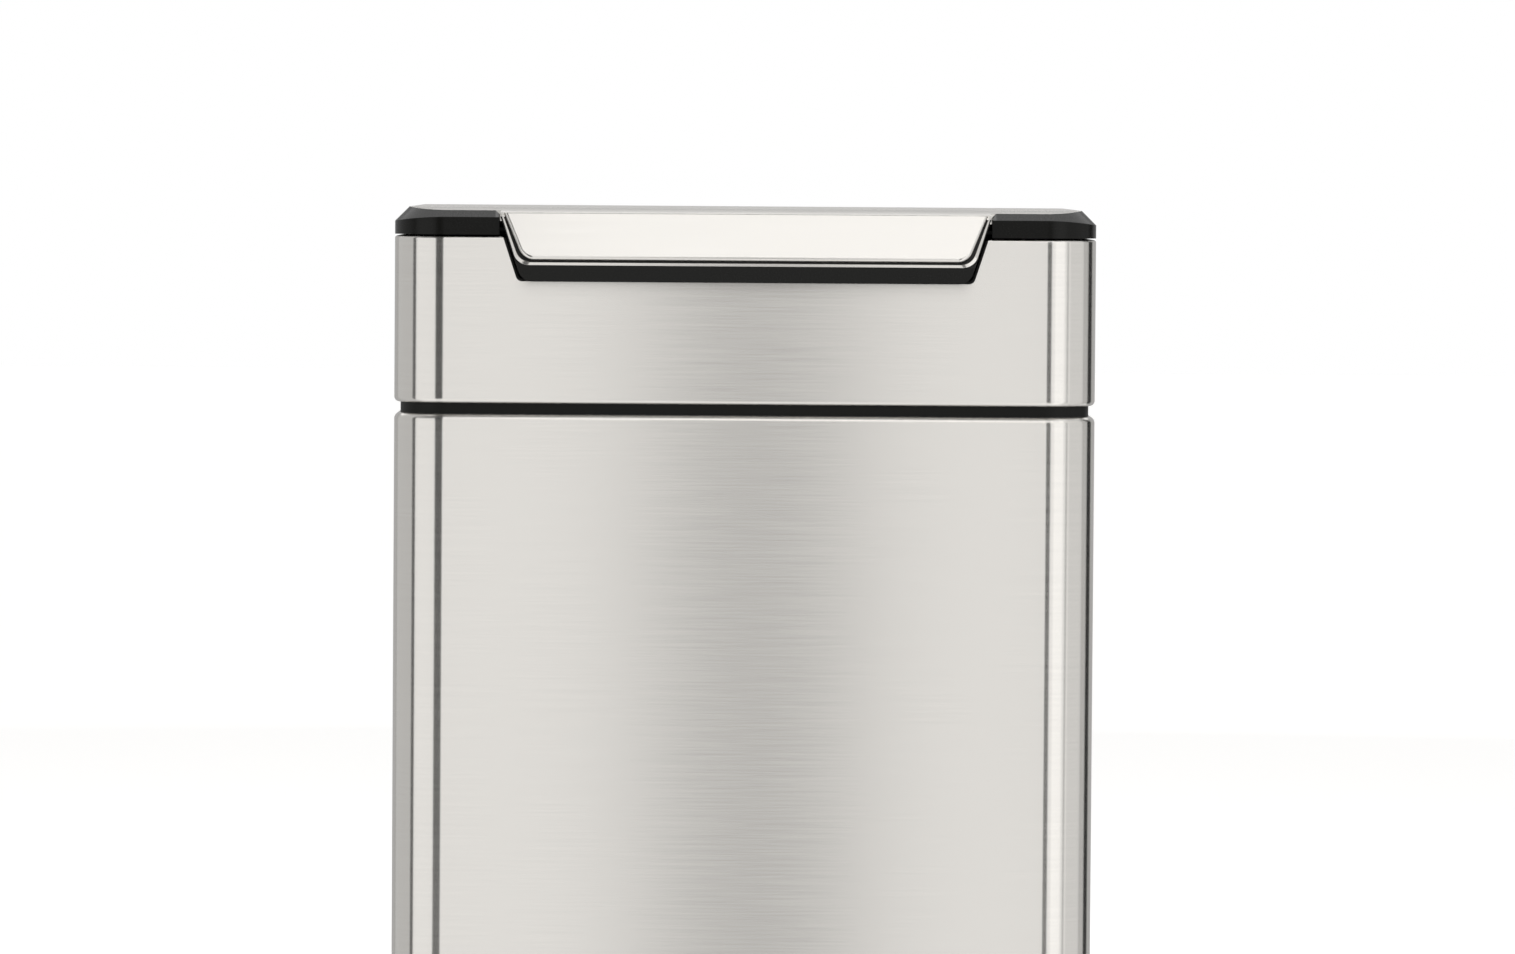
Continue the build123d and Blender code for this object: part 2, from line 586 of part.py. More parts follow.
def at_height(z, out):
    """(y, z) where the plane that lies out from the rim plane is at height z."""
    return on_bar((RIM_TOP_Z + out * sin(TILT) - z) / cos(TILT), out)


def face_block(inset):
    """Raised face of the bar with everything behind it, drawn in by inset."""
    out, run, top = BAR_STEP - inset, FACE_RUN - inset, BAR_TOP_Z - inset
    low_back = on_bar(run, -3 * SHEET)
    profile = [(BAR_BACK_Y + inset, top), at_height(top, out), on_bar(run, out), low_back,
               (BAR_BACK_Y + inset, low_back[1])]
    slope = (BAR_HALF_TOP - BAR_HALF_LOW) / (BAR_TOP_Z - FACE_Z)
    side = inset * sqrt(1 + slope ** 2)
    low = FACE_Z - FACE_RUN_ON
    half_low = BAR_HALF_LOW - slope * FACE_RUN_ON - side
    face = front_outline(half_low + slope * (HEIGHT - low), HEIGHT, half_low, low, BAR_CORNER_R,
                         FRONT_Y - 2 * BAR_REACH)
    prism = extrude(face, 3 * BAR_REACH, dir=(0, 1, 0))
    solid = side_profile(profile, -WIDTH / 2, WIDTH / 2) & prism
    outward = Vector(0, -cos(TILT), sin(TILT))
    tilted = [face for face in solid.faces() if face.normal_at().dot(outward) > 0.999][0]
    return fillet(tilted.edges().sort_by(Axis.Z)[:-1], BAR_EDGE_R - inset)


def carrier_prism(inset, z_low, radius):
    """Plan of the bar seen from the front, a little narrower towards its face."""
    side_gap = BEZEL_T + BAR_SIDE_GAP + inset
    z_top = BAR_TOP_Z + 2
    sections = []
    for y, draft in ((BAR_BACK_Y + 3, 0.0), (FRONT_Y - BAR_REACH - 2, BAR_DRAFT)):
        half_low = NOTCH_HALF_LOW - side_gap - draft + NOTCH_SLOPE * (z_low - NOTCH_Z)
        half_top = half_low + NOTCH_SLOPE * (z_top - z_low)
        sections.append(front_outline(half_top, z_top, half_low, z_low, radius, y))
    return loft([section.face() for section in sections], ruled=True)


def bar_cover():
    """Steel cover: raised face with a rolled edge, narrow rim, top edge folded back."""
    skin = face_block(0) - face_block(SHEET)
    behind = [on_bar(-RIM_RUN, -SHEET), on_bar(2 * RIM_RUN, -SHEET),
              (FRONT_Y + BAR_REACH, RIM_Z - RIM_RUN), (FRONT_Y + BAR_REACH, HEIGHT)]
    below_top = box(-WIDTH, WIDTH, -TOO_FAR, TOO_FAR, 0, BAR_TOP_Z - SHEET)
    skin -= side_profile(behind, -WIDTH / 2, WIDTH / 2) & below_top
    strip = [on_bar(0, 0), on_bar(RIM_RUN, 0), on_bar(RIM_RUN, -SHEET), on_bar(0, -SHEET)]
    rim = side_profile(strip, -WIDTH / 2, WIDTH / 2) & carrier_prism(0, RIM_Z - 0.3, BAR_CORNER_R)
    return skin + (rim - face_block(SHEET))


def bar_ribs():
    """Ribs from the bar's shell back to the pivot line."""
    top = PIVOT_Z + BAR_BOSS_R
    profile = [(FRONT_Y - 4, CHIN_Z), (FLOOR_BACK_Y, CHIN_Z), (PIVOT_Y + BAR_BOSS_R, PIVOT_Z),
               (PIVOT_Y + BAR_BOSS_R / 2, top), (FRONT_Y + 1, top), (FRONT_Y - 4, top)]
    ribs = []
    for i in range(BAR_RIBS):
        x = BAR_RIB_FIRST_X + (OUTER_RIB_X - BAR_RIB_FIRST_X) * i / (BAR_RIBS - 1)
        ribs.append(both_sides(side_profile(profile, x - BAR_RIB_T / 2, x + BAR_RIB_T / 2)))
    return Part() + ribs


def bar_carrier():
    """Black moulding behind the steel: pad under the face, chin, floor, ribs, trunnions."""
    front = on_bar(RIM_RUN, -SHEET)
    chin = (front[0] + BAR_CHIN_SLOPE, NOTCH_Z)
    top = BAR_TOP_Z - SHEET
    profile = [(BAR_BACK_Y, top), at_height(top, -SHEET), front, chin, (CHIN_BACK_Y, NOTCH_Z),
               (CHIN_BACK_Y, CHIN_Z), (FLOOR_BACK_Y, CHIN_Z), (FLOOR_BACK_Y, CHIN_Z + WALL),
               (BAR_BACK_Y, CHIN_Z + WALL)]
    shell = side_profile(profile, -WIDTH / 2, WIDTH / 2) + face_block(SHEET)
    shell = shell & carrier_prism(0, NOTCH_Z, BAR_CHIN_R)
    hollow_top = top - WALL
    floor_z = CHIN_Z + WALL
    chin_slope = BAR_CHIN_SLOPE / (front[1] - NOTCH_Z)
    chin_inside = front[0] + chin_slope * (front[1] - floor_z) + WALL * sqrt(1 + chin_slope ** 2)
    inner = at_height(front[1], -SHEET - WALL)
    hollow = [(BAR_BACK_Y + 1, hollow_top), at_height(hollow_top, -SHEET - WALL), inner,
              (chin_inside, floor_z), (BAR_BACK_Y + 1, floor_z)]
    half = BAR_HALF_LOW - WALL
    carrier = shell - side_profile(hollow, -half, half)
    carrier += bar_ribs() & box(-WIDTH, WIDTH, inner[0], TOO_FAR, 0, TOO_FAR)
    boss = rod(OUTER_RIB_X, HOUSING_HALF - WALL - 1, PIVOT_Y, PIVOT_Z, BAR_BOSS_R)
    carrier += both_sides(boss) - bar_pins()
    return carrier - post(0, FRONT_Y + HOOK_SCREW_IN, CHIN_Z, HEIGHT, SCREW_R)


def bar_pins():
    return both_sides(rod(OUTER_RIB_X + BAR_PIN_HOLD, HOUSING_HALF, PIVOT_Y, PIVOT_Z, BAR_PIN_R))


def bar_housing():
    """Black trough behind the notch: floor, cheeks, back wall and the bezel's lip."""
    back_y = FRONT_Y + THROAT_INSET
    trough = box(-HOUSING_HALF, HOUSING_HALF, FRONT_Y + SHEET, back_y, HOUSING_Z, DECK_TOP) & inside_band()
    hollow_half = HOUSING_HALF - WALL
    trough -= box(-hollow_half, hollow_half, FRONT_Y + SHEET + WALL, back_y - WALL,
                  HOUSING_Z + WALL, HEIGHT)
    bezel = notch_prism(0, FRONT_Y - BEZEL_REACH, FRONT_Y + SHEET, DECK_TOP)
    housing = trough + bezel - notch_prism(BEZEL_T, FRONT_Y - BEZEL_REACH - 1, FRONT_Y + SHEET + WALL + 1)
    housing -= rod(-HOUSING_HALF, HOUSING_HALF, PIVOT_Y, PIVOT_Z, BAR_PIN_R + PIN_CLEARANCE)
    for y, z in housing_screw_places():
        housing -= rod(-HOUSING_HALF - 1, HOUSING_HALF + 1, y, z, SCREW_R)
    return housing


def housing_screws():
    """Screws through the trough's cheeks into the frame's bosses."""
    screws = []
    inner = HOUSING_HALF - WALL
    for y, z in housing_screw_places():
        head = rod(inner - SCREW_HEAD_T, inner, y, z, SCREW_HEAD_R)
        screws.append(both_sides(head + rod(inner, SCREW_END_X, y, z, SCREW_R)))
    return Part() + screws


HOOK_Z = HOUSING_Z + WALL + HOOK_FLOOR_GAP
HOOK_BACK_Y = FRONT_Y + THROAT_INSET - WALL - HOOK_BACK_GAP
HOOK_FRONT_Y = FRONT_Y + HOOK_SCREW_IN - SCREW_HEAD_R - 0.8


def latch_hook():
    """Hook on the bar that reaches round the striker and catches it from behind."""
    base_z = CHIN_Z + WALL
    half = HOOK_HALF + HOOK_T
    tab = box(-half, half, HOOK_FRONT_Y, FLOOR_BACK_Y, base_z, base_z + HOOK_T)
    tab -= post(0, FRONT_Y + HOOK_SCREW_IN, base_z - 1, base_z + 2 * HOOK_T, SCREW_R)
    arms = both_sides(box(HOOK_HALF, half, HOOK_FRONT_Y, HOOK_BACK_Y, base_z, base_z + 3 * HOOK_T))
    back = box(-half, half, HOOK_BACK_Y - HOOK_T, HOOK_BACK_Y, HOOK_Z, base_z + 3 * HOOK_T)
    tip_y = STRIKER_Y + STRIKER_T + REST_GAP
    tip = box(-HOOK_HALF / 2, HOOK_HALF / 2, tip_y, HOOK_BACK_Y, HOOK_Z, HOOK_Z + HOOK_T)
    return tab + arms + back + tip


def hook_screw():
    top = CHIN_Z + WALL + HOOK_T
    y = FRONT_Y + HOOK_SCREW_IN
    return post(0, y, top, top + SCREW_HEAD_T, SCREW_HEAD_R) + post(0, y, CHIN_Z + 0.4, top, SCREW_R)


def lid_striker():
    """Tongue under the lid with a window for the hook."""
    plate = box(-2 * STRIKER_HALF, 2 * STRIKER_HALF, STRIKER_Y - 5, STRIKER_Y + STRIKER_T + 5,
                LINER_Z - 1.8, LINER_Z)
    tongue = box(-STRIKER_HALF, STRIKER_HALF, STRIKER_Y, STRIKER_Y + STRIKER_T,
                 HOOK_Z - 3, LINER_Z)
    window = box(-HOOK_HALF / 2 - 1, HOOK_HALF / 2 + 1, STRIKER_Y - 1, STRIKER_Y + STRIKER_T + 1,
                 HOOK_Z - REST_GAP, HOOK_Z + HOOK_T + 1.5)
    return plate + tongue - window


def bar_springs():
    """Springs between the trough's floor and the bar's floor that lift the bar again."""
    z0, z1 = HOUSING_Z + WALL + BAR_SPRING_WIRE_R, CHIN_Z - BAR_SPRING_WIRE_R
    pitch = (z1 - z0) / BAR_SPRING_TURNS
    coil = Helix(pitch, z1 - z0, BAR_SPRING_R)
    spring = sweep(Plane(origin=coil @ 0, z_dir=coil % 0) * Circle(BAR_SPRING_WIRE_R), path=coil)
    y = FRONT_Y + BAR_SPRING_IN
    return Part() + [Pos(x, y, z0) * spring for x in (-BAR_SPRING_X, BAR_SPRING_X)]


# ---- Write one file for each piece ----------------------------------------------------
PIECES = [
    body_shell, base_pan, base_feet, base_screws, top_collar,
    inner_bucket,
    upper_band, lower_trim, top_frame, bar_housing, housing_screws, bar_springs,
    hinge_brackets, bracket_screws, hinge_pin, lid_springs, hinge_cover, cover_screws,
    lid_panel, lid_frame, lid_liner, liner_screws, lid_bumpers, hinge_rail, lid_striker,
    bar_cover, bar_carrier, bar_pins, latch_hook, hook_screw,
]

for piece in PIECES:
    save(piece(), piece.__name__)
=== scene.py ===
import json
from math import atan2, cos, pi, radians, sin, sqrt, tan

import bmesh
import bpy
from bpy.props import FloatProperty, IntProperty, PointerProperty, StringProperty
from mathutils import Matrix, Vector

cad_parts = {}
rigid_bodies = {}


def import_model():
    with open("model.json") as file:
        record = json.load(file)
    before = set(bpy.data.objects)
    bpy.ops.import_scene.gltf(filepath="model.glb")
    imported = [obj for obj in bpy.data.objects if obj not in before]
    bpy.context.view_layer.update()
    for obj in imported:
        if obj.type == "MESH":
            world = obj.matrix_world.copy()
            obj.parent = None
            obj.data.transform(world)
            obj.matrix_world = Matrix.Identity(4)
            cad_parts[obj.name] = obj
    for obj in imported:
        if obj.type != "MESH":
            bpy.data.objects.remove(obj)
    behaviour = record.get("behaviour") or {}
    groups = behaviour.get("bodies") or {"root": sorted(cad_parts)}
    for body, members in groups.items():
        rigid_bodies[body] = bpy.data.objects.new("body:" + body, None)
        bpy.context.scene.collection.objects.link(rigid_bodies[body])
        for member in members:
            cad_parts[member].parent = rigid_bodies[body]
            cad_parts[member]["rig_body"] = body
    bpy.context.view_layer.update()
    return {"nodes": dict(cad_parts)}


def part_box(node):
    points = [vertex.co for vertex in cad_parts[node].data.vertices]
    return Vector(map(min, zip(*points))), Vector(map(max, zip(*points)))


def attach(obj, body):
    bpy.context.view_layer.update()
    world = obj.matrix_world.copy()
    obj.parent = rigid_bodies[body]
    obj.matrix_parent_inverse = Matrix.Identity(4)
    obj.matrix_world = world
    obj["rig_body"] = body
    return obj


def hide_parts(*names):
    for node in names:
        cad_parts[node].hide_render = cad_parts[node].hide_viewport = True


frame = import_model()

bl_info = {
    "name": "Push-top bin dressing",
    "version": (1, 0, 0),
    "blender": (4, 5, 0),
    "location": "View3D > Sidebar > Bin",
    "description": "Steel skins, lid frame, finishes and studio for a push-top kitchen bin",
    "category": "Object",
}

MM = 0.001
NODES = frame["nodes"]

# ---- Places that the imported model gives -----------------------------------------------
SHELL_LOW, SHELL_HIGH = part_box("body_shell")
BAND_LOW, BAND_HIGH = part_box("upper_band")
LID_LOW, LID_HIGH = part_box("lid_frame")
BAR_LOW, BAR_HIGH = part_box("bar_cover")
PIN_LOW, PIN_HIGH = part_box("hinge_pin")

HALF_WIDTH = SHELL_HIGH.x
FRONT_Y = SHELL_LOW.y
BACK_Y = SHELL_HIGH.y
MID_Y = (FRONT_Y + BACK_Y) / 2
HINGE_Y = (PIN_LOW.y + PIN_HIGH.y) / 2
HINGE_Z = (PIN_LOW.z + PIN_HIGH.z) / 2

# ---- How finely the pieces are made ---------------------------------------------------
MERGE_DISTANCE = 0.001 * MM   # points nearer than this become one
WELD_DISTANCE = 0.002 * MM    # the same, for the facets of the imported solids
THINNEST = 0.05 * MM          # least half height of the lid frame's rounded end
ROLL_STEPS = 8                # facets in the body's roll and the bar's rolled edge
LIP_STEPS = 10                # facets in the band's lower roll
BAND_TOP_STEPS = 6            # facets in the band's top edge
NOTCH_STEPS = 8               # facets in each corner of the notch
BAR_CORNER_STEPS = 12         # facets in each lower corner of the bar
BACK_STEPS = 14               # sections of the lid frame from its side to its rounded end
SIDE_STATIONS = (-60 * MM, 60 * MM)   # sections of the lid frame along its straight side
SHEET_TURN = 40               # degrees; shading breaks where body or band turns by more
BAR_TURN = 35                 # the same for the bar's cover
FRAME_TURN = 22               # degrees; steeper edges of the lid frame are eased
NODE_TURN = 35                # the same for pieces that keep their own solids
EDGE_WEIGHT = 100             # how strongly large faces set the shading
# The bar's rim, outwards from the foot of the face: (share of the way to the rim's edge,
# depth below the face's foot plane in groove depths).
RIM_ROWS = [(0.46, 1.0), (0.50, 0.2), (0.56, 0.05), (0.93, 0.65), (1.0, 0.85), (1.0, 1.2)]


# ---- Sizes a user may change ----------------------------------------------------------
def length(name, description, millimetres):
    """A length property whose default is given in millimetres."""
    return FloatProperty(name=name, description=description, default=millimetres * MM,
                         subtype="DISTANCE", unit="LENGTH", precision=4)


class BinSteelSizes(bpy.types.PropertyGroup):
    corner: length("Corner radius", "Corners of the steel body seen from above", 30.0)
    sheet: length("Sheet", "Thickness of the steel", 0.8)
    body_roll: length("Body roll", "Radius of the body's rolled top edge", 3.6)
    band_roll: length("Band roll", "Radius of the band's rolled lower edge", 3.0)
    band_top: length("Band top", "Radius of the band's top edge", 1.4)
    flange: length("Flange", "Width of the body's rolled-in flange", 3.7)
    band_lip: length("Band lip", "Width of the band's rolled-in lips", 3.2)
    notch_top: length("Notch top", "Half the notch's width at the band's top", 141.1)
    notch_low: length("Notch bottom", "Half the notch's width at its lower edge", 132.6)
    notch_z: length("Notch height", "Height of the notch's lower edge above the floor", 587.1)
    notch_corner: length("Notch corner", "Radius of the notch's lower corners", 4.0)
    corner_steps: IntProperty(name="Corner steps", description="Facets in each corner", default=28)


class BinLidSizes(bpy.types.PropertyGroup):
    chamfer: length("Chamfer", "Sloped edge of the lid frame along the sides", 8.4)
    front_wall: length("Front wall", "Upright part of the frame at the front", 10.2)
    edge: length("Edge", "Rounding where the wall meets the slope", 1.1)
    gap_half: length("Gap", "Half the width of the frame's gap for the bar", 143.2)
    end_cut: length("End cut", "Cut corner at each end of the gap", 2.4)
    crown_run: length("Crown run", "How far back the lid's top curves", 32.0)
    crown_drop: length("Crown drop", "How far the lid's top falls at the front", 3.4)
    panel_inset: length("Panel inset", "Edge of the steel panel in from the frame's side", 8.7)


class BinBarSizes(bpy.types.PropertyGroup):
    tilt: FloatProperty(name="Tilt", description="Lean of the bar's face", default=radians(22.0),
                        subtype="ANGLE")
    top_drop: length("Top drop", "Lid top down to the bar's top", 3.4)
    face_drop: length("Face drop", "Lid top down to the face's lower edge", 29.3)
    rim_drop: length("Rim drop", "Lid top down to the rim's lower edge", 33.0)
    step: length("Step", "Face above its rim", 2.2)
    edge: length("Edge", "Rolled edge of the face", 1.8)
    half_top: length("Face top", "Half the face's width at its top", 140.2)
    half_low: length("Face bottom", "Half the face's width at its lower edge", 129.1)
    rim_top: length("Rim top", "Half the rim's width level with the face's top", 142.0)
    rim_low: length("Rim bottom", "Half the rim's width at its lower edge", 132.6)
    corner: length("Corner", "Radius of the face's lower corners", 9.0)
    rim_corner: length("Rim corner", "Radius of the rim's lower corners", 9.5)
    fold: length("Fold", "Rounding of the fold at the face's top", 0.7)
    groove: length("Groove", "Depth of the groove between the face and its rim", 1.0)


class BinFinishes(bpy.types.PropertyGroup):
    steel: StringProperty(name="Steel", description="Stainless steel, sRGB hex", default="E6E3DE")
    plastic: StringProperty(name="Black plastic", description="Moulded parts, sRGB hex", default="161614")
    rubber: StringProperty(name="Rubber", description="Feet and stops, sRGB hex", default="1E1E1D")
    acetal: StringProperty(name="Acetal", description="Small moving parts, sRGB hex", default="E4E1D9")
    zinc: StringProperty(name="Zinc plate", description="Screws, pins and springs, sRGB hex",
                         default="BDBFC2")
    bucket: StringProperty(name="Bucket", description="Inner bucket, sRGB hex", default="595A5C")
    brush_line: length("Brush line", "Width of one brushed line, wider than the real 0.15 mm", 0.7)
    brush_run: length("Brush run", "Length of one brushed line", 70.0)
    plastic_grain: length("Plastic grain", "Size of the moulded texture's grains", 0.5)


class StudioSettings(bpy.types.PropertyGroup):
    soft_level: FloatProperty(name="Soft level", description="World light on matt surfaces", default=0.62)
    top_power: FloatProperty(name="Top light", description="Overhead soft box, watts", default=13.0)
    back_power: FloatProperty(name="Back light", description="Soft box above and behind, watts", default=12.0)
    floor: StringProperty(name="Floor", description="Floor colour, sRGB hex", default="F2F1EF")
    floor_glow: FloatProperty(name="Floor glow", description="Light from below the paper", default=0.43)
    panel_distance: FloatProperty(name="Panel distance", description="Reflecting panels from the bin",
                                  default=5.0, subtype="DISTANCE", unit="LENGTH")


# ---- Mesh helpers ---------------------------------------------------------------------
def arc(centre_inset, centre_z, radius, start, end, steps):
    """(inset, z) points on a rounded edge; angles are from straight out of the wall."""
    angles = [radians(start + (end - start) * i / steps) for i in range(steps + 1)]
    return [(centre_inset - radius * cos(a), centre_z + radius * sin(a)) for a in angles]


def plan(inset, sizes):
    """The bin's plan drawn in by inset, as (x, y) points, anticlockwise."""
    points = []
    half_depth = (BACK_Y - FRONT_Y) / 2
    for side, end, start in ((1, 1, 0), (-1, 1, 90), (-1, -1, 180), (1, -1, 270)):
        centre_x = side * (HALF_WIDTH - sizes.corner)
        centre_y = MID_Y + end * (half_depth - sizes.corner)
        for i in range(sizes.corner_steps + 1):
            angle = radians(start + 90 * i / sizes.corner_steps)
            radius = sizes.corner - inset
            points.append((centre_x + radius * cos(angle), centre_y + radius * sin(angle)))
    return points


def round_the_bin(profile, sizes):
    """Cross-sections all round the plan from one closed profile of (inset, z) points."""
    columns = [[(x, y, z) for x, y in plan(inset, sizes)] for inset, z in profile]
    return [list(section) for section in zip(*columns)]


def joined_sections(bm, sections, closed):
    """Skin between closed sections of equal length; capped at both ends unless closed."""
    rows = [[bm.verts.new(point) for point in section] for section in sections]
    for row, after in zip(rows, rows[1:] + rows[:1] if closed else rows[1:]):
        for i in range(len(row)):
            j = (i + 1) % len(row)
            bm.faces.new((row[i], row[j], after[j], after[i]))
    if not closed:
        bm.faces.new(rows[0][::-1])
        bm.faces.new(rows[-1])


def piece_from(bm, name):
    """Finish a mesh, shade it smooth and put it in the scene."""
    bmesh.ops.remove_doubles(bm, verts=bm.verts, dist=MERGE_DISTANCE)
    bmesh.ops.recalc_face_normals(bm, faces=bm.faces)
    mesh = bpy.data.meshes.new(name)
    bm.to_mesh(mesh)
    bm.free()
    mesh.shade_smooth()
    piece = bpy.data.objects.new(name, mesh)
    bpy.context.scene.collection.objects.link(piece)
    return piece


def ease_edges(piece, width, angle, segments=3):
    """Round a piece's edges and let its flat faces keep flat shading."""
    bevel = piece.modifiers.new("eased edges", "BEVEL")
    bevel.width, bevel.segments = width, segments
    bevel.limit_method, bevel.angle_limit = "ANGLE", radians(angle)
    flat_faces_flat(piece)


def flat_faces_flat(piece):
    """Let a piece's large faces set the shading where they meet small ones."""
    weighted = piece.modifiers.new("flat faces stay flat", "WEIGHTED_NORMAL")
    weighted.mode, weighted.weight, weighted.keep_sharp = "FACE_AREA", EDGE_WEIGHT, True


def sharp_over(piece, angle):
    """Mark the edges that turn by more than angle, so that shading breaks there."""
    piece.data.set_sharp_from_angle(angle=radians(angle))


def take_place(piece, body, node, material):
    """Give the piece its finish and body, and let it stand for its CAD node."""
    piece.data.materials.clear()
    piece.data.materials.append(material)
    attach(piece, body)
    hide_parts(node)


def body_of(node):
    """The moving body that a CAD node belongs to."""
    return NODES[node]["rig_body"]


# ---- Steel body and band --------------------------------------------------------------
def body_profile(sizes):
    """Closed profile of the steel can: outer face, rolled top, flange, inner face."""
    low, high, roll, sheet = SHELL_LOW.z, SHELL_HIGH.z, sizes.body_roll, sizes.sheet
    outer = [(0, low)] + arc(roll, high - roll, roll, 0, 90, ROLL_STEPS) + [(sizes.flange, high)]
    inner = [(sheet, low)] + arc(roll, high - roll, roll - sheet, 0, 90, ROLL_STEPS)
    return outer + [(sizes.flange, high - sheet)] + inner[::-1]


def band_profile(sizes):
    """Closed profile of the band: lower roll and lip, outer face, top edge and lip."""
    low, high, sheet, lip = BAND_LOW.z, BAND_HIGH.z, sizes.sheet, sizes.band_lip
    roll, top = sizes.band_roll, sizes.band_top
    outer = ([(lip, low)] + arc(roll, low + roll, roll, -90, 0, LIP_STEPS)
             + arc(top, high - top, top, 0, 90, BAND_TOP_STEPS) + [(lip, high)])
    inner = ([(lip, low + sheet)] + arc(roll, low + roll, roll - sheet, -90, 0, LIP_STEPS)
             + arc(top, high - top, top - sheet, 0, 90, BAND_TOP_STEPS) + [(lip, high - sheet)])
    return outer + inner[::-1]


def rounded_notch(sizes, y_from, y_to):
    """A block the shape of the bar's notch, to cut the band with."""
    slope = (sizes.notch_top - sizes.notch_low) / (BAND_HIGH.z - sizes.notch_z)
    above = BAND_HIGH.z + sizes.band_roll
    lean = atan2(slope, 1.0)
    radius = sizes.notch_corner
    centre_x = sizes.notch_low + slope * radius - radius / cos(lean)
    centre_z = sizes.notch_z + radius
    half = [(sizes.notch_low + slope * (above - sizes.notch_z), above)]
    for i in range(NOTCH_STEPS + 1):
        angle = -lean - (pi / 2 - lean) * i / NOTCH_STEPS
        half.append((centre_x + radius * cos(angle), centre_z + radius * sin(angle)))
    outline = half + [(-x, z) for x, z in reversed(half)]
    bm = bmesh.new()
    joined_sections(bm, [[(x, y, z) for x, z in outline] for y in (y_from, y_to)], closed=False)
    return piece_from(bm, "notch_block")


def cut_away(piece, cutter):
    """Cut one mesh out of another for good and drop the cutter."""
    cut = piece.modifiers.new("cut", "BOOLEAN")
    cut.object, cut.operation, cut.solver = cutter, "DIFFERENCE", "EXACT"
    evaluated = piece.evaluated_get(bpy.context.evaluated_depsgraph_get())
    whole, piece.data = piece.data, bpy.data.meshes.new_from_object(evaluated)
    piece.modifiers.remove(cut)
    bpy.data.meshes.remove(whole)
    bpy.data.objects.remove(cutter)


class BIN_OT_body_shell(bpy.types.Operator):
    """Steel can of the bin with its rolled top edge"""
    bl_idname = "bin.body_shell"
    bl_label = "Body Shell"

    def execute(self, context):
        sizes = context.scene.bin_steel
        bm = bmesh.new()
        joined_sections(bm, round_the_bin(body_profile(sizes), sizes), closed=True)
        shell = piece_from(bm, "steel_body")
        sharp_over(shell, SHEET_TURN)
        flat_faces_flat(shell)
        take_place(shell, body_of("body_shell"), "body_shell", finish("brushed stainless walls"))
        return {"FINISHED"}


class BIN_OT_upper_band(bpy.types.Operator):
    """Steel band of the head with its notch for the bar"""
    bl_idname = "bin.upper_band"
    bl_label = "Upper Band"

    def execute(self, context):
        sizes = context.scene.bin_steel
        bm = bmesh.new()
        joined_sections(bm, round_the_bin(band_profile(sizes), sizes), closed=True)
        band = piece_from(bm, "steel_band")
        cut_away(band, rounded_notch(sizes, FRONT_Y - sizes.band_roll, FRONT_Y + 2 * sizes.band_lip))
        band.data.shade_smooth()
        sharp_over(band, SHEET_TURN)
        flat_faces_flat(band)
        take_place(band, body_of("upper_band"), "upper_band", finish("brushed stainless walls"))
        return {"FINISHED"}


# ---- Lid frame ------------------------------------------------------------------------
def smooth_step(t):
    """Ease from 0 to 1 with no kink at either end."""
    t = min(max(t, 0.0), 1.0)
    return t * t * (3 - 2 * t)


def crown_top(y, sizes):
    """Height of the lid's top at y, falling towards the front."""
    radius = (sizes.crown_run ** 2 + sizes.crown_drop ** 2) / (2 * sizes.crown_drop)
    ahead = max(FRONT_Y + sizes.crown_run - y, 0)
    return LID_HIGH.z - radius + sqrt(radius ** 2 - ahead ** 2)


def frame_stations(steel, sizes):
    """(place on the outline, inward direction, share of front profile) along one arm."""
    stations = []
    corner, steps = steel.corner, steel.corner_steps
    straight = HALF_WIDTH - corner
    for x in (sizes.gap_half, sizes.gap_half + sizes.end_cut, straight):
        stations.append((Vector((x, FRONT_Y)), Vector((0, 1)), 1.0))
    front_centre = Vector((straight, FRONT_Y + corner))
    for i in range(1, steps + 1):
        angle = radians(-90 + 90 * i / steps)
        out = Vector((cos(angle), sin(angle)))
        stations.append((front_centre + corner * out, -out, 1 - smooth_step(i / steps)))
    back_start = BACK_Y - corner
    for y in (*SIDE_STATIONS, back_start):
        stations.append((Vector((HALF_WIDTH, y)), Vector((-1, 0)), 0.0))
    end_y = HINGE_Y + (LID_HIGH.z - LID_LOW.z) / 2
    for i in range(1, BACK_STEPS + 1):
        y = back_start + (end_y - back_start) * sin(radians(90 * i / BACK_STEPS))
        x = [straight + sqrt(r ** 2 - (y - back_start) ** 2) for r in (corner, corner - sizes.panel_inset)]
        stations.append((Vector((x[0], y)), Vector((-(x[0] - x[1]) / sizes.panel_inset, 0)), 0.0))
    return stations


def frame_section(place, inward, front_share, sizes):
    """Closed profile of the lid frame's rim at one station."""
    low, side_wall = LID_LOW.z, LID_HIGH.z - LID_LOW.z - sizes.chamfer
    wall = low + side_wall + (sizes.front_wall - side_wall) * front_share
    top_at = place + inward * sizes.chamfer
    top = crown_top(top_at.y, sizes)
    half_nose = (LID_HIGH.z - low) / 2
    points = []
    for inset, z in ((0, low), (0, wall), (sizes.chamfer, top),
                     (sizes.panel_inset, top), (sizes.panel_inset, low)):
        at = place + inward * inset
        past = max(at.y - HINGE_Y, 0)
        reach = sqrt(max(half_nose ** 2 - past ** 2, THINNEST ** 2))
        if past > 0:
            z = min(max(z, HINGE_Z - reach), HINGE_Z + reach)
        points.append([at.x, at.y, z])
    return points


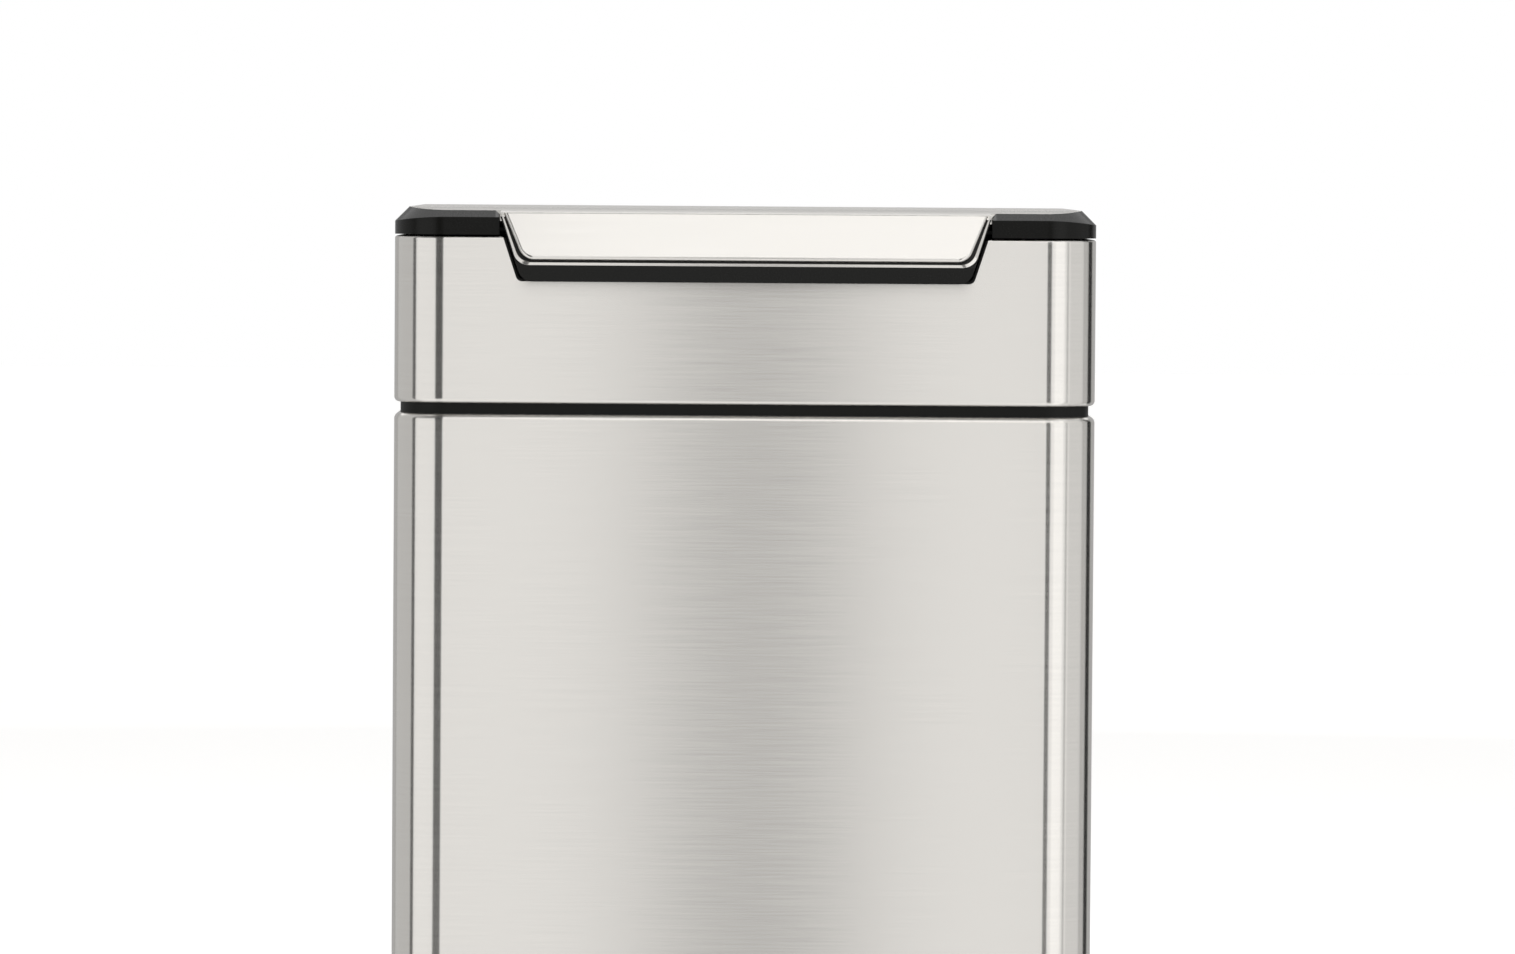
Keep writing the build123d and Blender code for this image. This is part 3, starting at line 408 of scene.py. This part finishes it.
class BIN_OT_lid_frame(bpy.types.Operator):
    """Black frame round the lid, open at the front for the bar"""
    bl_idname = "bin.lid_frame"
    bl_label = "Lid Frame"

    def execute(self, context):
        sizes = context.scene.bin_lid
        stations = frame_stations(context.scene.bin_steel, sizes)
        sections = [frame_section(*station, sizes) for station in stations]
        for point in sections[0]:
            point[2] = min(point[2], sections[1][2][2] - sizes.end_cut)
        bm = bmesh.new()
        joined_sections(bm, sections, closed=False)
        joined_sections(bm, [[(-x, y, z) for x, y, z in section] for section in sections], closed=False)
        rim = piece_from(bm, "lid_rim")
        ease_edges(rim, sizes.edge, FRAME_TURN, segments=4)
        take_place(rim, body_of("lid_frame"), "lid_frame", finish("moulded black ABS"))
        return {"FINISHED"}


# ---- Bar cover ------------------------------------------------------------------------
def bar_outline(half_low, low_run, slope, corner, top_run):
    """U-shaped outline in the bar's tilted plane, as (x, run down), from top right to top left."""
    lean = atan2(slope, 1.0)
    centre_x = half_low + slope * corner - corner / cos(lean)
    right = [(half_low + slope * (low_run - top_run), top_run)]
    for i in range(BAR_CORNER_STEPS + 1):
        angle = lean + (pi / 2 - lean) * i / BAR_CORNER_STEPS
        right.append((centre_x + corner * cos(angle), low_run - corner + corner * sin(angle)))
    return right + [(-x, run) for x, run in reversed(right)]


def face_rows(sizes, face_run, rim_run):
    """Rows of (x, run, out) from the flat face over its rolled edge to the rim's edge."""
    slope = (sizes.half_top - sizes.half_low) / face_run
    rim_slope = (sizes.rim_top - sizes.rim_low) / rim_run
    rolled = [radians(90 * i / ROLL_STEPS) for i in range(ROLL_STEPS + 1)]
    profile = [(sizes.edge * (1 - sin(a)), sizes.step - sizes.edge * (1 - cos(a))) for a in rolled]
    rows = []
    for inset, out in profile + [(0, -sizes.groove)]:
        low_run = face_run - inset
        half_low = sizes.half_low - inset * sqrt(1 + slope ** 2) + slope * inset
        top_run = (out - sizes.step) * tan(sizes.tilt)
        outline = bar_outline(half_low, low_run, slope, sizes.corner - inset, top_run)
        rows.append([(x, run, out) for x, run in outline])
    rim_top_run = -sizes.step * tan(sizes.tilt)
    rim = bar_outline(sizes.rim_low, rim_run, rim_slope, sizes.rim_corner, rim_top_run)
    foot = rows[-1]
    for share, depth in RIM_ROWS:
        rows.append([(x + (rim_x - x) * share, run + (rim_low - run) * share, -depth * sizes.groove)
                     for (x, run, _), (rim_x, rim_low) in zip(foot, rim)])
    return rows


class BIN_OT_bar_cover(bpy.types.Operator):
    """Steel cover of the press bar: raised face, rolled edge, narrow rim, folded top"""
    bl_idname = "bin.bar_cover"
    bl_label = "Bar Cover"

    def execute(self, context):
        sizes = context.scene.bin_bar
        top_z = LID_HIGH.z - sizes.top_drop
        face_run = (sizes.face_drop - sizes.top_drop) / cos(sizes.tilt)
        rim_top_z = top_z - sizes.step * sin(sizes.tilt)
        rim_run = (rim_top_z - (LID_HIGH.z - sizes.rim_drop)) / cos(sizes.tilt)
        rim_top_y = (BAR_LOW.y + sizes.edge + (face_run - sizes.edge) * sin(sizes.tilt)
                     + (sizes.step - sizes.edge) * cos(sizes.tilt))
        bm = bmesh.new()
        rows = []
        for row in face_rows(sizes, face_run, rim_run):
            rows.append([bm.verts.new((x, rim_top_y - run * sin(sizes.tilt) - out * cos(sizes.tilt),
                                       rim_top_z - run * cos(sizes.tilt) + out * sin(sizes.tilt)))
                         for x, run, out in row])
        bm.faces.new(rows[0])
        for row, outer in zip(rows, rows[1:]):
            for i in range(len(row) - 1):
                bm.faces.new((row[i], row[i + 1], outer[i + 1], outer[i]))
        back = [bm.verts.new((side * sizes.half_top, BAR_HIGH.y, top_z)) for side in (-1, 1)]
        bm.faces.new([row[0] for row in reversed(rows)] + [row[-1] for row in rows] + back)
        fold = bm.edges.get((rows[0][0], rows[0][-1]))
        bmesh.ops.bevel(bm, geom=[fold], offset=sizes.fold, segments=3, profile=0.5, affect="EDGES")
        cover = piece_from(bm, "bar_skin")
        sharp_over(cover, BAR_TURN)
        sheet = cover.modifiers.new("steel sheet", "SOLIDIFY")
        sheet.thickness, sheet.offset, sheet.use_even_offset = context.scene.bin_steel.sheet, -1, True
        flat_faces_flat(cover)
        take_place(cover, body_of("bar_cover"), "bar_cover", finish("brushed stainless walls"))
        return {"FINISHED"}


# ---- Finishes -------------------------------------------------------------------------
NOISE_SPAN = (0.3, 0.7)         # nearly all of a noise pattern's values lie between these
STEEL_SPAN = (0.35, 0.65)       # the part of it that turns from dark line to light line
STEEL_SHADES = (0.97, 1.015)    # darkest and lightest line, against the steel's colour
LINE_SPREAD = 0.07              # share by which the roughness differs from line to line
LINE_BUMP, LINE_DEPTH = 0.05, 0.004 * MM
PLASTIC_SHADES = (0.97, 1.03)   # broad, faint clouds in moulded plastic
CLOUD_GRAINS = 60               # size of a cloud in grains
GRAIN_SPREAD = 0.04             # how far the roughness differs between grains
GRAIN_DEPTH = 0.02 * MM
ZINC_SHADES = (0.92, 1.0)
ZINC_ROUGHNESS = (0.28, 0.40)
SPANGLE = 1.5 * MM              # size of the patches in the zinc

# Steel sheet: (axis that the brushed lines lie across, way the reflections spread, roughness).
# The walls are brushed side to side; so is the lid, whose finish is a little finer.
STEELS = {
    "brushed stainless walls": (2, (0, 0, 1), 0.22),
    "brushed stainless lid": (1, (0, 1, 0), 0.15),
}
# Plastics and rubber: (colour, size of grain in plastic grains, roughness, bump, refractive
# index, shine, where 0.5 is a plain smooth plastic and less is a duller skin).
PLASTICS = {
    "moulded black ABS": ("plastic", 1.0, 0.25, 0.12, 1.54, 0.16),
    "moulded black polypropylene": ("plastic", 1.0, 0.46, 0.30, 1.49, 0.20),
    "moulded rubber": ("rubber", 0.8, 0.78, 0.50, 1.52, 0.50),
    "turned acetal": ("acetal", 1.5, 0.40, 0.10, 1.48, 0.50),
    "moulded bucket polypropylene": ("bucket", 2.0, 0.50, 0.30, 1.49, 0.50),
}


def linear(hex_colour):
    """An sRGB hex colour as linear RGBA."""
    channels = [int(hex_colour[i:i + 2], 16) / 255 for i in (0, 2, 4)]
    return tuple(c / 12.92 if c <= 0.04045 else ((c + 0.055) / 1.055) ** 2.4 for c in channels) + (1.0,)


def shade(colour, share):
    """The colour made darker or lighter by a share."""
    return tuple(c * share for c in colour[:3]) + (1.0,)


def add_node(material, kind, settings=(), **inputs):
    """Add a node with its settings; an input is a value, or a (node, output) pair to link."""
    node = material.node_tree.nodes.new(kind)
    for name, value in dict(settings).items():
        setattr(node, name, value)
    for name, value in inputs.items():
        socket = node.inputs[int(name[1:]) if name[1:].isdigit() else name.replace("_", " ")]
        if isinstance(value, tuple) and isinstance(value[0], bpy.types.Node):
            material.node_tree.links.new(value[0].outputs[value[1]], socket)
        else:
            socket.default_value = value
    return node


def two_shades(material, source, colour, shares, places=(0.0, 1.0)):
    """A ramp between two shades of a colour, driven by a pattern."""
    ramp = add_node(material, "ShaderNodeValToRGB", Fac=source)
    for stop, share, place in zip(ramp.color_ramp.elements, shares, places):
        stop.position, stop.color = place, shade(colour, share)
    return ramp


def new_material(name):
    """An empty node material."""
    material = bpy.data.materials.new(name)
    material.use_nodes = True
    material.node_tree.nodes.clear()
    return material


def brushed_stainless(name, lines_across, lobe, roughness):
    """Ferritic stainless sheet, belt-brushed: fine lines that draw reflections out across them."""
    look = bpy.context.scene.bin_finishes
    material = new_material(name)
    steel = linear(look.steel)
    where = add_node(material, "ShaderNodeTexCoord")
    scale = [1 / look.brush_run] * 3
    scale[lines_across] = 1 / look.brush_line
    lines = add_node(material, "ShaderNodeMapping", Vector=(where, "Object"), Scale=scale)
    brushed = add_node(material, "ShaderNodeTexNoise", Vector=(lines, "Vector"), Scale=1.0, Detail=3.0,
                       Roughness=0.6)
    tone = two_shades(material, (brushed, "Fac"), steel, STEEL_SHADES, STEEL_SPAN)
    rough = add_node(material, "ShaderNodeMapRange", Value=(brushed, "Fac"), From_Min=NOISE_SPAN[0],
                     From_Max=NOISE_SPAN[1], To_Min=(1 - LINE_SPREAD) * roughness,
                     To_Max=(1 + LINE_SPREAD) * roughness)
    groove = add_node(material, "ShaderNodeBump", Height=(brushed, "Fac"), Strength=LINE_BUMP,
                      Distance=LINE_DEPTH)
    across = add_node(material, "ShaderNodeCombineXYZ", X=lobe[0], Y=lobe[1], Z=lobe[2])
    shader = add_node(material, "ShaderNodeBsdfPrincipled", Base_Color=(tone, "Color"), Metallic=1.0,
                      Roughness=(rough, "Result"), Anisotropic=1.0, Tangent=(across, "Vector"),
                      Normal=(groove, "Normal"))
    add_node(material, "ShaderNodeOutputMaterial", Surface=(shader, "BSDF"))
    return material


def moulded_plastic(name, hex_colour, grain, roughness, bump, ior, shine):
    """A moulded surface: even colour under a fine spark-eroded grain that softens highlights."""
    material = new_material(name)
    colour = linear(hex_colour)
    where = add_node(material, "ShaderNodeTexCoord")
    cells = add_node(material, "ShaderNodeTexNoise", Vector=(where, "Object"), Scale=1 / grain, Detail=2.0,
                     Roughness=0.5)
    clouds = add_node(material, "ShaderNodeTexNoise", Vector=(where, "Object"),
                      Scale=1 / (CLOUD_GRAINS * grain), Detail=2.0)
    tone = two_shades(material, (clouds, "Fac"), colour, PLASTIC_SHADES, NOISE_SPAN)
    rough = add_node(material, "ShaderNodeMapRange", Value=(cells, "Fac"), From_Min=NOISE_SPAN[0],
                     From_Max=NOISE_SPAN[1], To_Min=roughness - GRAIN_SPREAD, To_Max=roughness + GRAIN_SPREAD)
    texture = add_node(material, "ShaderNodeBump", Height=(cells, "Fac"), Strength=bump,
                       Distance=GRAIN_DEPTH)
    shader = add_node(material, "ShaderNodeBsdfPrincipled", Base_Color=(tone, "Color"),
                      Roughness=(rough, "Result"), IOR=ior, Specular_IOR_Level=shine,
                      Normal=(texture, "Normal"))
    add_node(material, "ShaderNodeOutputMaterial", Surface=(shader, "BSDF"))
    return material


def zinc_plate(name, hex_colour):
    """Bright zinc-plated steel wire and screws: slightly cloudy metal."""
    material = new_material(name)
    colour = linear(hex_colour)
    where = add_node(material, "ShaderNodeTexCoord")
    spangle = add_node(material, "ShaderNodeTexVoronoi", Vector=(where, "Object"), Scale=1 / SPANGLE)
    tone = two_shades(material, (spangle, "Distance"), colour, ZINC_SHADES)
    rough = add_node(material, "ShaderNodeMapRange", Value=(spangle, "Distance"),
                     To_Min=ZINC_ROUGHNESS[0], To_Max=ZINC_ROUGHNESS[1])
    shader = add_node(material, "ShaderNodeBsdfPrincipled", Base_Color=(tone, "Color"), Metallic=1.0,
                      Roughness=(rough, "Result"))
    add_node(material, "ShaderNodeOutputMaterial", Surface=(shader, "BSDF"))
    return material


def finish(name):
    """The bin's finish of that name, made the first time it is asked for."""
    if name in bpy.data.materials:
        return bpy.data.materials[name]
    look = bpy.context.scene.bin_finishes
    if name in STEELS:
        return brushed_stainless(name, *STEELS[name])
    if name in PLASTICS:
        colour, grains, *surface = PLASTICS[name]
        return moulded_plastic(name, getattr(look, colour), grains * look.plastic_grain, *surface)
    if name == "zinc-plated steel":
        return zinc_plate(name, look.zinc)
    raise ValueError(f"no finish is called {name}")


FINISH_OF = {
    "brushed stainless lid": ["lid_panel"],
    "moulded black ABS": ["bar_carrier", "bar_housing", "hinge_cover", "hinge_rail"],
    "moulded black polypropylene": ["base_pan", "top_collar", "lower_trim", "top_frame", "lid_liner"],
    "moulded rubber": ["base_feet", "lid_bumpers"],
    "turned acetal": ["latch_hook", "lid_striker"],
    "moulded bucket polypropylene": ["inner_bucket"],
    "zinc-plated steel": ["base_screws", "housing_screws", "bracket_screws", "cover_screws", "liner_screws",
                          "hook_screw", "bar_springs", "hinge_brackets", "hinge_pin", "lid_springs",
                          "bar_pins"],
}
# Rounding of the edges, in millimetres.
EASED = {"lid_panel": 0.9, "bar_carrier": 0.6, "bar_housing": 0.4, "hinge_cover": 0.8, "top_collar": 0.5,
         "top_frame": 0.6, "base_pan": 0.8, "inner_bucket": 1.0, "lid_liner": 0.4}


class BIN_OT_finish_nodes(bpy.types.Operator):
    """Finishes and eased edges of the pieces that keep their own solids"""
    bl_idname = "bin.finish_nodes"
    bl_label = "Finish Other Pieces"

    def execute(self, context):
        for name, nodes in FINISH_OF.items():
            for node in nodes:
                piece = NODES[node]
                piece.data.materials.clear()
                piece.data.materials.append(finish(name))
                weld = piece.modifiers.new("joined facets", "WELD")
                weld.merge_threshold = WELD_DISTANCE
                if node in EASED:
                    ease_edges(piece, EASED[node] * MM, NODE_TURN, segments=2)
        return {"FINISHED"}


# ---- Studio ---------------------------------------------------------------------------
# Panels that show only in reflections: (name, azimuth from, to, elevation from, to, brightness).
# Azimuth is in degrees from straight in front of the bin, minus towards -X; elevation is from
# the lid's underside.  Each panel stands a little nearer than the one before and covers it.
PANELS = [
    ("front_upper_soft_box", -5, 60, 28, 56, 1.62),
    ("upper_front_gap", -60, 60, 56, 84, 0.02),
    ("upper_left_flag", -75, -6, 24, 62, 0.12),
    ("gap_at_the_camera", -0.8, 1.6, -40, 22, 0.34),
    ("left_flag", -23, -7, -22, 24, 0.02),
    ("left_seam", -77, -69, -25, 40, 0.08),
    ("left_screen", -130, -77, -60, 60, 0.60),
    ("right_gap", 6.5, 16, -22, 24, 0.02),
    ("right_soft_box", 24, 45, -60, 60, 1.18),
    ("right_seam", 50, 55, -60, 60, 0.55),
    ("right_screen", 58, 95, -60, 60, 0.78),
    ("right_far_screen", 95, 113, -60, 60, 0.55),
    ("right_flag", 113, 131, -25, 40, 0.03),
    ("back_screen", 131, 230, -60, 24, 0.46),
    ("back_upper_soft_box", 140, 220, 25, 53, 1.35),
]
PANEL_STEP = 4                # degrees that one flat facet of a panel spans
PANEL_LAYER = 0.01            # each panel stands nearer by this share of the distance
FLOOR_REACH = 4               # floor out from the middle, in panel distances
PAPER_FIBRE = 5 / 3 * MM
PAPER_BUMP, PAPER_DEPTH = 0.05, 0.05 * MM

# Lamps: height above the floor, width, and how far behind the bin's middle, in metres.
OVERHEAD_Z, OVERHEAD_SIZE = 2.7, 2.4
BACK_BOX_Z, BACK_BOX_SIZE, BACK_BOX_BEHIND = 2.2, 0.9, 1.25

# Camera: 4.5 m in front of the body and a little above the lid.
LENS, SENSOR = 183.95, 36.0                # millimetres
CAMERA_AT = (-0.0205, -4.645, 0.6557)      # metres
CAMERA_TURN = (87.69, -0.40, -0.343)       # degrees


def camera_only_background(material_or_world, lit, seen):
    """Mix: seen by the camera, in metal and through glass; lit for everything else."""
    path = add_node(material_or_world, "ShaderNodeLightPath")
    either = add_node(material_or_world, "ShaderNodeMath", {"operation": "MAXIMUM"},
                      _0=(path, "Is Camera Ray"), _1=(path, "Is Glossy Ray"))
    shown = add_node(material_or_world, "ShaderNodeMath", {"operation": "MAXIMUM"},
                     _0=(either, "Value"), _1=(path, "Is Transmission Ray"))
    return add_node(material_or_world, "ShaderNodeMixShader", Fac=(shown, "Value"),
                    _1=(lit, lit.outputs[0].name), _2=(seen, seen.outputs[0].name))


def white_world(settings):
    """Soft light on the bin, and plain white behind it."""
    world = bpy.data.worlds.new("white studio")
    world.use_nodes = True
    world.node_tree.nodes.clear()
    lit = add_node(world, "ShaderNodeBackground", Color=(1, 1, 1, 1), Strength=settings.soft_level)
    seen = add_node(world, "ShaderNodeBackground", Color=(1, 1, 1, 1), Strength=1.0)
    add_node(world, "ShaderNodeOutputWorld", Surface=(camera_only_background(world, lit, seen), "Shader"))
    bpy.context.scene.world = world


def panel_between(name, start, end, low, high, brightness, distance):
    """A curved panel round the bin that shows only in reflections."""
    bm = bmesh.new()
    steps = max(2, int((end - start) / PANEL_STEP))
    levels = [LID_LOW.z + distance * tan(radians(elevation)) for elevation in (low, high)]
    row = []
    for i in range(steps + 1):
        angle = radians(start + (end - start) * i / steps)
        x, y = distance * sin(angle), MID_Y - distance * cos(angle)
        row.append([bm.verts.new((x, y, z)) for z in levels])
    for (below, above), (next_below, next_above) in zip(row, row[1:]):
        bm.faces.new((below, next_below, next_above, above))
    panel = piece_from(bm, name)
    glow = new_material(name)
    shader = add_node(glow, "ShaderNodeEmission", Color=(1, 1, 1, 1), Strength=brightness)
    add_node(glow, "ShaderNodeOutputMaterial", Surface=(shader, "Emission"))
    panel.data.materials.append(glow)
    panel.visible_camera = panel.visible_diffuse = panel.visible_shadow = False
    panel.visible_transmission = panel.visible_volume_scatter = False


def pale_floor(settings):
    """Seamless pale paper under the bin, which keeps its shadow."""
    bm = bmesh.new()
    half = FLOOR_REACH * settings.panel_distance
    corners = [bm.verts.new((x * half, y * half, 0)) for x, y in ((-1, -1), (1, -1), (1, 1), (-1, 1))]
    bm.faces.new(corners)
    floor = piece_from(bm, "studio_floor")
    paper = new_material("seamless paper")
    where = add_node(paper, "ShaderNodeTexCoord")
    fibres = add_node(paper, "ShaderNodeTexNoise", Vector=(where, "Object"), Scale=1 / PAPER_FIBRE,
                      Detail=2.0)
    tooth = add_node(paper, "ShaderNodeBump", Height=(fibres, "Fac"), Strength=PAPER_BUMP,
                     Distance=PAPER_DEPTH)
    lit = add_node(paper, "ShaderNodeBsdfPrincipled", Base_Color=linear(settings.floor), Roughness=0.9,
                   Normal=(tooth, "Normal"))
    glow = add_node(paper, "ShaderNodeEmission", Color=(1, 1, 1, 1), Strength=settings.floor_glow)
    both = add_node(paper, "ShaderNodeAddShader", _0=(lit, "BSDF"), _1=(glow, "Emission"))
    add_node(paper, "ShaderNodeOutputMaterial", Surface=(camera_only_background(paper, lit, both), "Shader"))
    floor.data.materials.append(paper)
    floor.visible_glossy = False


def soft_box(name, place, aim, size, power):
    """A square area lamp aimed at a point; it lights surfaces but isn't mirrored in them."""
    data = bpy.data.lights.new(name, "AREA")
    data.shape, data.size, data.energy = "SQUARE", size, power
    light = bpy.data.objects.new(name, data)
    light.location = place
    light.visible_glossy = False
    light.rotation_euler = (Vector(aim) - Vector(place)).to_track_quat("-Z", "Y").to_euler()
    bpy.context.scene.collection.objects.link(light)


def set_camera():
    """The viewing angle, nearly straight from the front with a long lens."""
    data = bpy.data.cameras.new("camera")
    data.lens, data.sensor_width = LENS, SENSOR
    camera = bpy.data.objects.new("camera", data)
    camera.location = CAMERA_AT
    camera.rotation_euler = [radians(turn) for turn in CAMERA_TURN]
    bpy.context.scene.collection.objects.link(camera)
    bpy.context.scene.camera = camera


class BIN_OT_studio(bpy.types.Operator):
    """Pale floor, white surroundings, soft light, reflecting panels and camera"""
    bl_idname = "bin.studio"
    bl_label = "Studio"

    def execute(self, context):
        settings = context.scene.bin_studio
        context.scene.view_settings.view_transform = "Standard"
        white_world(settings)
        pale_floor(settings)
        for i, panel in enumerate(PANELS):
            panel_between(*panel, settings.panel_distance * (1 - PANEL_LAYER * i))
        soft_box("overhead_soft_box", (0, MID_Y, OVERHEAD_Z), (0, MID_Y, 0), OVERHEAD_SIZE,
                 settings.top_power)
        soft_box("back_soft_box", (0, MID_Y + BACK_BOX_BEHIND, BACK_BOX_Z), (0, MID_Y, LID_HIGH.z),
                 BACK_BOX_SIZE, settings.back_power)
        set_camera()
        return {"FINISHED"}


# ---- Panel, registration and order of work --------------------------------------------
OPERATORS = [BIN_OT_body_shell, BIN_OT_upper_band, BIN_OT_lid_frame, BIN_OT_bar_cover, BIN_OT_finish_nodes,
             BIN_OT_studio]
SETTINGS = {"bin_steel": BinSteelSizes, "bin_lid": BinLidSizes, "bin_bar": BinBarSizes,
            "bin_finishes": BinFinishes, "bin_studio": StudioSettings}


class BIN_PT_make(bpy.types.Panel):
    """Pieces, finishes and studio of the bin"""
    bl_idname = "BIN_PT_make"
    bl_label = "Push-top Bin"
    bl_space_type = "VIEW_3D"
    bl_region_type = "UI"
    bl_category = "Bin"

    def draw(self, context):
        for group, kind in SETTINGS.items():
            column = self.layout.column(align=True)
            for name in kind.__annotations__:
                column.prop(getattr(context.scene, group), name)
        for operator in OPERATORS:
            self.layout.operator(operator.bl_idname)


def register():
    for kind in [*SETTINGS.values(), *OPERATORS, BIN_PT_make]:
        bpy.utils.register_class(kind)
    for group, kind in SETTINGS.items():
        setattr(bpy.types.Scene, group, PointerProperty(type=kind))


def unregister():
    for group in SETTINGS:
        delattr(bpy.types.Scene, group)
    for kind in reversed([*SETTINGS.values(), *OPERATORS, BIN_PT_make]):
        bpy.utils.unregister_class(kind)


def main():
    register()
    bpy.ops.bin.body_shell()
    bpy.ops.bin.upper_band()
    bpy.ops.bin.lid_frame()
    bpy.ops.bin.bar_cover()
    bpy.ops.bin.finish_nodes()
    bpy.ops.bin.studio()


if __name__ == "__main__":
    main()
